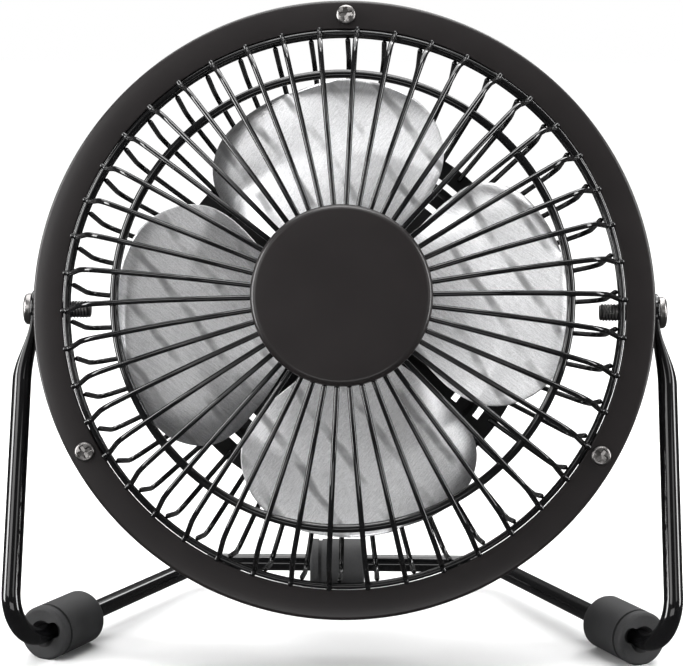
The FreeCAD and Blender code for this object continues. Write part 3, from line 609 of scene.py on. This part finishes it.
class FAN_OT_stand(bpy.types.Operator):
    """Bends the rod of the stand and forges its two eyes"""

    bl_idname = "fan.stand"
    bl_label = "Bent rod stand"

    def execute(self, context):
        size = context.scene.fan_sizes
        shape = Shape()
        low, high = STAND
        rod = size.rod
        base_z = low.z + rod
        corner = Vector((high.x - rod, low.y - size.corner_reach, base_z))
        half = Vector((size.crossbar, high.y - rod, base_z))
        top = Vector((corner.x, PIVOT.y, PIVOT.z))
        down = (corner - top).normalized()
        right = [half, corner, top + down * size.neck_start]
        left = [point * Vector((-1, 1, 1)) for point in reversed(right)]
        path = bent(left + right, (size.bend,) * 4, step=5.0)
        self.sweep(shape, path, rod)
        for sign in (1, -1):
            self.eye(shape, size, top, down, sign)
        placed(shape.mesh("bent_rod", sharp=50), "stand", finish("rod_enamel"), "rod_enamel",
               "stand_frame")
        return {"FINISHED"}

    @staticmethod
    def sweep(shape, path, radius, sides=32):
        """The rod, whose two ends run on into the eyes."""
        side = Vector((1, 0, 0))
        rings = []
        last = len(path) - 1
        for k, point in enumerate(path):
            way = (path[min(k + 1, last)] - path[max(k - 1, 0)]).normalized()
            side = (side - way * side.dot(way)).normalized()
            over = way.cross(side)
            rings.append(slice_of(point, side, over, radius, sides))
        shape.loft(rings)

    def eye(self, shape, size, top, down, sign):
        """The neck from round to flat, and the flat eye round its bore."""
        flat_x = SCREWS[1].x - size.head_h - size.play - size.eye_thick / 2
        across = down.cross(Vector((1, 0, 0))).normalized()
        steps, sides = 16, 32
        inset, neck_share, widening, squareness = 0.03 * MM, 0.82, 1.3, 1.2
        start = len(shape.corners)
        rings = []
        for k in range(steps + 1):
            part = k / steps
            ease = part * part * (3 - 2 * part)
            x = top.x + (flat_x - top.x) * ease
            flat = size.eye_thick / 2 - inset
            half_x = size.rod + (flat - size.rod) * ease
            wide = size.rod + (size.eye * neck_share - size.rod) * part ** widening
            centre = Vector((x, top.y, top.z))
            centre += down * (size.neck_start + (size.neck_end - size.neck_start) * part)
            square = 1 + squareness * ease
            ring = []
            for n in range(sides):
                turn = 2 * math.pi * n / sides
                c, s = math.cos(turn), math.sin(turn)
                thick = math.copysign(abs(c) ** (1 / square), c)
                broad = math.copysign(abs(s) ** (1 / square), s)
                ring.append(centre + Vector((thick, 0, 0)) * half_x + across * (broad * wide))
            rings.append(ring)
        shape.loft(rings)
        ring = len(shape.corners)
        half = size.eye_thick / 2
        outline = [(size.eye_bore, -half), (size.eye, -half), (size.eye, half),
                   (size.eye_bore, half)]
        turned(shape, rounded(outline, (0.15 * MM, 0.4 * MM, 0.4 * MM, 0.15 * MM), 30), count=64)
        shape.moved(facing(Vector((flat_x, top.y, top.z)), (1, 0, 0)), ring)
        if sign < 0:
            shape.moved(Matrix.Diagonal((-1, 1, 1, 1)), start)


class FAN_OT_rim(bpy.types.Operator):
    """Presses the round rim with its front flange and back lip"""

    bl_idname = "fan.rim"
    bl_label = "Pressed rim"

    def execute(self, context):
        size = context.scene.fan_sizes
        inner, outer, back, front = RIM
        wall, lip = size.wall, size.lip
        fillet = size.rim_round
        outline = [(inner, front), (outer, front), (outer, back), (outer - wall - lip, back),
                   (outer - wall - lip, back + wall), (outer - wall, back + wall),
                   (outer - wall, front - wall), (inner, front - wall)]
        small, inside = 0.3 * MM, 0.2 * MM
        radii = (small, fillet, fillet, small, small, inside, inside, small)
        shape = Shape()
        turned(shape, rounded(outline, radii, step=18), count=256)
        shape.moved(HEAD)
        placed(shape.mesh("pressed_rim", sharp=40), "head", finish("rim_enamel"), "rim_enamel",
               "rim")
        return {"FINISHED"}


class FAN_OT_guard(bpy.types.Operator):
    """Bends and welds the wires of the front guard and of the cage behind it"""

    bl_idname = "fan.guard"
    bl_label = "Wire guard"

    # Corners of the wires as (radius, height) on the head, in millimetres; the ends are
    # given from the radius of the front ring's wire. The bends are the corners' radii.
    front_run = ((16, 20.2), (38, 19.6), (57.5, 13.2))
    front_end = ((-0.7, 1.11), (1.2, 0.76))
    front_bends = (70, 7, 1.5)
    rear_start = (-1.18, -2.3)
    rear_run = ((60.3, -18.8), (41.2, -21.12))
    rear_bends = (4,)

    def execute(self, context):
        size = context.scene.fan_sizes
        first = math.degrees(size.spoke_first)
        late = math.degrees(size.rear_offset)
        hoop = (RING[0] + RING[1]) / 2 / MM
        dome = [*self.front_run, *((hoop + out, height) for out, height in self.front_end)]
        cage = [(hoop + self.rear_start[0], self.rear_start[1]), *self.rear_run]
        self.wires("front_wires", size, dome, self.front_bends, first, "front_spokes")
        self.wires("rear_cage_wires", size, cage, self.rear_bends, first + late, "rear_wires")
        self.ring("front_outer_hoop", RING, 192, "front_outer_ring")
        self.ring("front_middle_hoop", MID_RING, 160, "front_mid_ring")
        self.ring("rear_outer_hoop", REAR_RING, 192, "rear_outer_ring")
        return {"FINISHED"}

    @staticmethod
    def wires(name, size, bends, radii, first, node):
        """One set of bent wires, evenly spaced about the axis."""
        shape = Shape()
        for k in range(size.spoke_count):
            turn = first + 360 * k / size.spoke_count
            points = [around(turn, r * MM, z * MM) for r, z in bends]
            path = bent(points, [radius * MM for radius in radii], step=5.0)
            bar(shape, path, size.wire, sides=14)
        shape.moved(HEAD)
        placed(shape.mesh(name, sharp=60), "head", finish("rod_enamel"), "rod_enamel", node)

    @staticmethod
    def ring(name, reach_of, count, node):
        """One closed hoop of wire."""
        inner, outer, low, high = reach_of
        shape = Shape()
        path = circle((inner + outer) / 2, count, (low + high) / 2)
        bar(shape, path, (high - low) / 2, sides=18, closed=True)
        shape.moved(HEAD)
        placed(shape.mesh(name, sharp=60), "head", finish("rod_enamel"), "rod_enamel", node)


class FAN_OT_cap(bpy.types.Operator):
    """Presses the cap in the middle of the front guard"""

    bl_idname = "fan.cap"
    bl_label = "Middle cap"

    def execute(self, context):
        size = context.scene.fan_sizes
        outer, back, front = CAP[1:]
        wall, edge = size.cap_wall, size.cap_round
        path = [(0, 0, front), (outer, 0, front), (outer, 0, back), (outer - wall, 0, back),
                (outer - wall, 0, front - wall), (0, 0, front - wall)]
        path = bent(path, (edge, 0.2 * MM, 0.2 * MM, edge - wall / 2), step=10)
        sides = 128
        rings = [circle(path[1].x * part, sides, front) for part in (0.12, 0.35, 0.6, 0.8)]
        rings += [circle(point.x, sides, point.z) for point in path[1:-1]]
        rings += [circle(path[-2].x * part, sides, front - wall) for part in (0.8, 0.5, 0.2)]
        shape = Shape()
        shape.loft(rings)
        shape.moved(HEAD)
        placed(shape.mesh("middle_cap", sharp=40), "head", finish("rim_enamel"), "rim_enamel",
               "centre_disc")
        return {"FINISHED"}


class FAN_OT_screws(bpy.types.Operator):
    """Turns the small cross-head screws of the flange and of the motor cover"""

    bl_idname = "fan.screws"
    bl_label = "Small screws"

    def execute(self, context):
        recess = (1.4 * MM, 0.4 * MM, 1.0 * MM, 0.16 * MM)
        head_r, head_h, shank_r, length = 2.2 * MM, 1.3 * MM, 1.3 * MM, 5 * MM
        circle_r = 66.45 * MM
        shape = Shape()
        for k, twist in enumerate((8, 52, 31)):
            start = len(shape.corners)
            screw_shape(shape, head_r, head_h, shank_r, length, recess)
            place = around(120 * k, circle_r)
            shape.moved(Matrix.Translation(place) @ Matrix.Rotation(math.radians(twist), 4, "Z"),
                        start)
        shape.moved(HEAD)
        placed(shape.mesh("flange_screw_set"), "head", finish("dark_screws"), "dark_screws",
               "flange_screws")
        self.cover_set()
        return {"FINISHED"}

    @staticmethod
    def cover_set():
        """The three screws of the motor cover."""
        low, high = reach("cover_screws")[2:]
        recess = (1.4 * MM, 0.36 * MM, 0.9 * MM, 0.16 * MM)
        head_r, head_h, shank_r = 2.3 * MM, 1.6 * MM, 1.25 * MM
        circle_r = 27.5 * MM
        shape = Shape()
        for k, twist in enumerate((15, 70, 40)):
            start = len(shape.corners)
            screw_shape(shape, head_r, head_h, shank_r, high - low - head_h, recess)
            place = around(180 + 120 * k, circle_r, low + head_h)
            turn = Matrix.Rotation(math.radians(twist), 4, "Z")
            shape.moved(Matrix.Translation(place) @ Matrix.Rotation(math.pi, 4, "X") @ turn, start)
        shape.moved(HEAD)
        placed(shape.mesh("cover_screw_set"), "head", finish("dark_screws"), "dark_screws",
               "cover_screws")


class FAN_OT_pivots(bpy.types.Operator):
    """Turns the two pivot screws, with their threads inside the rim"""

    bl_idname = "fan.pivots"
    bl_label = "Pivot screws"

    def execute(self, context):
        size = context.scene.fan_sizes
        shape = Shape()
        for sign in (1, -1):
            start = len(shape.corners)
            self.screw(shape, size)
            shape.moved(facing(PIVOT + Vector((SCREWS[1].x, 0, 0)), (1, 0, 0)), start)
            if sign < 0:
                shape.moved(Matrix.Diagonal((-1, 1, 1, 1)), start)
        placed(shape.mesh("pivot_screw_pair"), "head", finish("dark_screws"), "dark_screws",
               "pivot_screws")
        return {"FINISHED"}

    @staticmethod
    def screw(shape, size):
        """One screw along -z from the outside of its head at z = 0."""
        head_share, end_x = 0.818, 58.4 * MM
        head_r = (EYE[1].z - EYE[0].z) / 2 * head_share
        head_h, shank = size.head_h, 2.0 * MM
        length = SCREWS[1].x - end_x
        plain = SCREWS[1].x - RIM[1] + size.wall
        pitch, depth, turn_steps = 0.7 * MM, 0.25 * MM, 8
        edge = head_h * 0.5
        rings = []
        recess = (2.0 * MM, 0.5 * MM, 1.0 * MM, 0.2 * MM)
        count = 23
        for k in range(1, count + 1):
            radius = (head_r - edge) * k / count
            rings.append(recessed(radius, -0.12 * MM * (radius / head_r) ** 2, recess))
        rings += rounded_edge(head_r, edge, -0.08 * MM)
        profile = ((head_r, -head_h + SEAT_EDGE), (head_r - SEAT_EDGE, -head_h),
                   (shank, -head_h), (shank, -plain))
        rings += [circle(radius, SCREW_SIDES, height) for radius, height in profile]
        steps = int((length - plain) / pitch * turn_steps)
        for k in range(1, steps + 1):
            z = plain + k * (length - plain) / steps
            fade = min(1.0, (length - z) / pitch + 0.35)
            ring = []
            for n in range(SCREW_SIDES):
                phase = (z / pitch + n / SCREW_SIDES) % 1.0
                groove = depth * (1 - abs(2 * phase - 1)) * min(1.0, k / turn_steps)
                ring.append(around(360 * n / SCREW_SIDES,
                                   (shank - groove) * (0.8 + 0.2 * fade), -z))
            rings.append(ring)
        shape.loft(rings)


class FAN_OT_blades(bpy.types.Operator):
    """Stamps and twists the four sheet blades"""

    bl_idname = "fan.blades"
    bl_label = "Sheet blades"

    # Radius in millimetres, and the rear and front edges in degrees, of the flat blade.
    outline = (
        (8.5, 22.0, 64.0), (13.5, 8.0, 74.0), (18.0, 2.5, 79.0), (24.0, 0.0, 83.5),
        (30.0, -0.5, 85.5), (36.0, 0.0, 84.5), (41.0, 1.5, 81.0), (44.6, 4.5, 76.5),
        (47.4, 8.5, 71.5), (49.4, 13.0, 65.5), (50.6, 18.5, 57.0), (51.2, 25.5, 46.0),
    )
    count = 4
    flat_r, growth_run = 13.5, 22.5
    rise, curl_depth, curl_part = 16.0, 2.4, 0.16

    def execute(self, context):
        size = context.scene.fan_sizes
        shape = Shape()
        flat_places = []
        back = BLADE_PLATE[3]
        rows = self.rows(5)
        columns = 44
        first = math.degrees(size.blade_first)
        for blade in range(self.count):
            numbers = []
            for radius, low, high in rows:
                points = []
                for n in range(columns + 1):
                    part = n / columns
                    turn = low + (high - low) * part
                    z = back + self.height(part, radius) * MM
                    points.append(around(first + 360 / self.count * blade + turn, radius * MM, z))
                    flat = around(first + turn, radius * MM)
                    flat_places.append((flat.x, flat.y, 0.13 * blade))
                numbers.append(shape.ring(points))
            for inner, outer in zip(numbers, numbers[1:]):
                shape.bridge(inner, outer, closed=False)
        shape.moved(HEAD)
        mesh = shape.mesh("sheet_blades", sharp=50)
        if mesh.polygons[0].normal.dot(HEAD.to_3x3() @ Vector((0, 0, 1))) < 0:
            mesh.flip_normals()
        store = mesh.attributes.new("sheet_place", "FLOAT_VECTOR", "POINT")
        store.data.foreach_set("vector", [part for place in flat_places for part in place])
        piece = placed(mesh, "rotor", finish("blade_metal"), "blade_metal", "blades")
        modified(piece, "SOLIDIFY", thickness=size.blade_thick, offset=1.0, use_even_offset=True)
        modified(piece, "BEVEL", width=0.16 * MM, segments=2, limit_method="ANGLE",
                 angle_limit=math.radians(50))
        return {"FINISHED"}

    def rows(self, fine):
        """The outline with smooth rows between its stations."""
        stations = self.outline
        rows = []
        for k in range(len(stations) - 1):
            four = [stations[max(0, k - 1)], stations[k], stations[k + 1],
                    stations[min(len(stations) - 1, k + 2)]]
            count = fine if k < 6 else 3
            for n in range(count):
                rows.append(tuple(self.between(*(station[i] for station in four), n / count)
                                  for i in range(3)))
        return rows + [stations[-1]]

    @staticmethod
    def between(before, low, high, after, part):
        """A smooth value between two stations."""
        bend = (2 * low + (high - before) * part
                + (2 * before - 5 * low + 4 * high - after) * part ** 2
                + (3 * low - before - 3 * high + after) * part ** 3)
        return bend / 2

    def height(self, part, radius):
        """How far a point of the sheet stands ahead of its root, in millimetres."""
        growth = min(1.0, max(0.0, (radius - self.flat_r) / self.growth_run))
        growth = growth * growth * (1.5 - 0.5 * growth) if growth < 1 else growth
        curl = max(0.0, 1 - part / self.curl_part) ** 2
        return growth * (self.rise * (part - 0.5) - self.curl_depth * curl)


class FAN_OT_finish(bpy.types.Operator):
    """Smooths and paints the pieces that keep their machined shape"""

    bl_idname = "fan.finish"
    bl_label = "Finish the other pieces"

    replaced = {"stand_frame", "rim", "front_spokes", "rear_wires", "front_outer_ring",
                "front_mid_ring", "rear_outer_ring", "centre_disc", "flange_screws",
                "cover_screws", "pivot_screws", "blades"}

    def execute(self, context):
        slots = {part["node"]: part["material_slot"] for part in frame["record"]["subparts"]}
        for name, node in NODES.items():
            if name in self.replaced:
                continue
            material = finish(slots[name])
            if node.data.materials:
                for k in range(len(node.data.materials)):
                    node.data.materials[k] = material
            else:
                node.data.materials.append(material)
            soften(node.data, sharp=28)
            modified(node, "WEIGHTED_NORMAL", keep_sharp=True, weight=90)
        return {"FINISHED"}


class FAN_OT_studio(bpy.types.Operator):
    """Lays the floor and sets the lights, the sky and the camera"""

    bl_idname = "fan.studio"
    bl_label = "Studio"

    # Name, azimuth and elevation from the head in degrees, distance and sides in metres,
    # and brightness against plain white.
    softboxes = (
        ("left_key", -76, 14, 0.9, (0.3, 0.8), 15.0),
        ("right_key", 78, 16, 0.9, (0.24, 0.8), 13.0),
        ("high_key", 5, 80, 0.9, (0.5, 0.22), 10.0),
        ("left_box", -34, 22, 1.1, (0.5, 0.5), 3.4),
        ("right_box", 34, 20, 1.1, (0.3, 0.35), 1.9),
        ("top_box", 0, 54, 1.0, (0.5, 0.3), 2.3),
        ("low_box", 0, -12, 0.42, (0.3, 0.1), 2.6),
        ("back_strip", 150, 40, 1.1, (0.2, 0.5), 6.0),
    )

    def execute(self, context):
        self.floor(context)
        self.sky(context)
        for softbox in self.softboxes:
            self.box(*softbox)
        self.daylight(context)
        self.camera(context)
        context.scene.view_settings.view_transform = "Standard"
        return {"FINISHED"}

    @staticmethod
    def floor(context):
        """The plain pale floor, which the black enamel does not mirror."""
        shape = Shape()
        reach_out = 12.0
        corners = [(-reach_out, -reach_out, 0), (reach_out, -reach_out, 0),
                   (reach_out, reach_out, 0), (-reach_out, reach_out, 0)]
        shape.faces.append(tuple(shape.ring(corners)))
        mesh = shape.mesh("floor")
        ground = Shader("floor_paint", Roughness=0.7, Specular_IOR_Level=0.2)
        tone = context.scene.fan_colours.floor
        cloud = ground.noise(0.4, 2)
        ground.feed("Base Color", ground.mix(cloud, shade(tone, 0.985), shade(tone, 1.015)))
        mesh.materials.append(ground.material)
        piece = bpy.data.objects.new("floor", mesh)
        context.scene.collection.objects.link(piece)
        piece.visible_glossy = False

    @staticmethod
    def sky(context):
        """A dim room, and plain white where the camera sees past the floor."""
        world = bpy.data.worlds.new("studio_sky")
        world.use_nodes = True
        tree = world.node_tree
        tree.nodes.clear()
        path = tree.nodes.new("ShaderNodeLightPath")
        glow = tree.nodes.new("ShaderNodeBackground")
        glow.inputs["Color"].default_value = (1, 1, 1, 1)
        plain = tree.nodes.new("ShaderNodeBackground")
        plain.inputs["Color"].default_value = (0.07, 0.07, 0.07, 1)
        either = tree.nodes.new("ShaderNodeMixShader")
        out = tree.nodes.new("ShaderNodeOutputWorld")
        tree.links.new(path.outputs["Is Camera Ray"], either.inputs[0])
        tree.links.new(plain.outputs[0], either.inputs[1])
        tree.links.new(glow.outputs[0], either.inputs[2])
        tree.links.new(either.outputs[0], out.inputs["Surface"])
        context.scene.world = world

    @staticmethod
    def box(name, azimuth, elevation, away, sides, radiance):
        """A softbox that faces the middle of the head."""
        light = bpy.data.lights.new(name, "AREA")
        light.shape = "RECTANGLE"
        light.size, light.size_y = sides
        light.energy = radiance * math.pi * sides[0] * sides[1]
        lamp = bpy.data.objects.new(name, light)
        turn, rise = math.radians(azimuth), math.radians(elevation)
        way = Vector((math.sin(turn) * math.cos(rise), -math.cos(turn) * math.cos(rise),
                      math.sin(rise)))
        lamp.matrix_world = facing(HEAD.translation + way * away, way)
        bpy.context.scene.collection.objects.link(lamp)

    @staticmethod
    def daylight(context):
        """Soft light from high behind, which keeps the whole floor pale."""
        sun = bpy.data.lights.new("high_light", "SUN")
        sun.energy = 3.7
        sun.angle = math.radians(70)
        lamp = bpy.data.objects.new("high_light", sun)
        lamp.rotation_euler = (math.radians(-22), 0, 0)
        context.scene.collection.objects.link(lamp)

    @staticmethod
    def camera(context):
        """The camera, a little right of the middle and looking down."""
        lens = bpy.data.cameras.new("camera")
        lens.lens = 109.2
        lens.sensor_width = 36
        lens.clip_start = 0.01
        lens.clip_end = 50
        eye = bpy.data.objects.new("camera", lens)
        place = Matrix.Translation((0.0098, -0.4799, 0.13975))
        turn = Matrix.Rotation(math.radians(1.27), 4, "Z")
        pitch = Matrix.Rotation(math.radians(90 - 8.07), 4, "X")
        roll = Matrix.Rotation(math.radians(0.19), 4, "Z")
        eye.matrix_world = place @ turn @ pitch @ roll
        context.scene.collection.objects.link(eye)
        context.scene.camera = eye


STEPS = (FAN_OT_stand, FAN_OT_rim, FAN_OT_guard, FAN_OT_cap, FAN_OT_screws, FAN_OT_pivots,
         FAN_OT_blades, FAN_OT_finish, FAN_OT_studio)


class FAN_PT_panel(bpy.types.Panel):
    """Lists the fan's pieces, sizes and colours"""

    bl_idname = "FAN_PT_panel"
    bl_label = "Desk fan"
    bl_space_type = "VIEW_3D"
    bl_region_type = "UI"
    bl_category = "Fan"

    def draw(self, context):
        column = self.layout.column()
        for step in STEPS:
            column.operator(step.bl_idname)
        for group in (context.scene.fan_sizes, context.scene.fan_colours):
            for name in group.__annotations__:
                column.prop(group, name)


CLASSES = (FanSizes, FanColours, *STEPS, FAN_PT_panel)


def register():
    """Adds the classes and the two groups of settings."""
    for each in CLASSES:
        bpy.utils.register_class(each)
    bpy.types.Scene.fan_sizes = bpy.props.PointerProperty(type=FanSizes)
    bpy.types.Scene.fan_colours = bpy.props.PointerProperty(type=FanColours)


def unregister():
    """Takes them away again."""
    del bpy.types.Scene.fan_colours
    del bpy.types.Scene.fan_sizes
    for each in reversed(CLASSES):
        bpy.utils.unregister_class(each)


def main():
    """Builds the fan."""
    register()
    for step in STEPS:
        family, name = step.bl_idname.split(".")
        getattr(getattr(bpy.ops, family), name)()


if __name__ == "__main__":
    main()
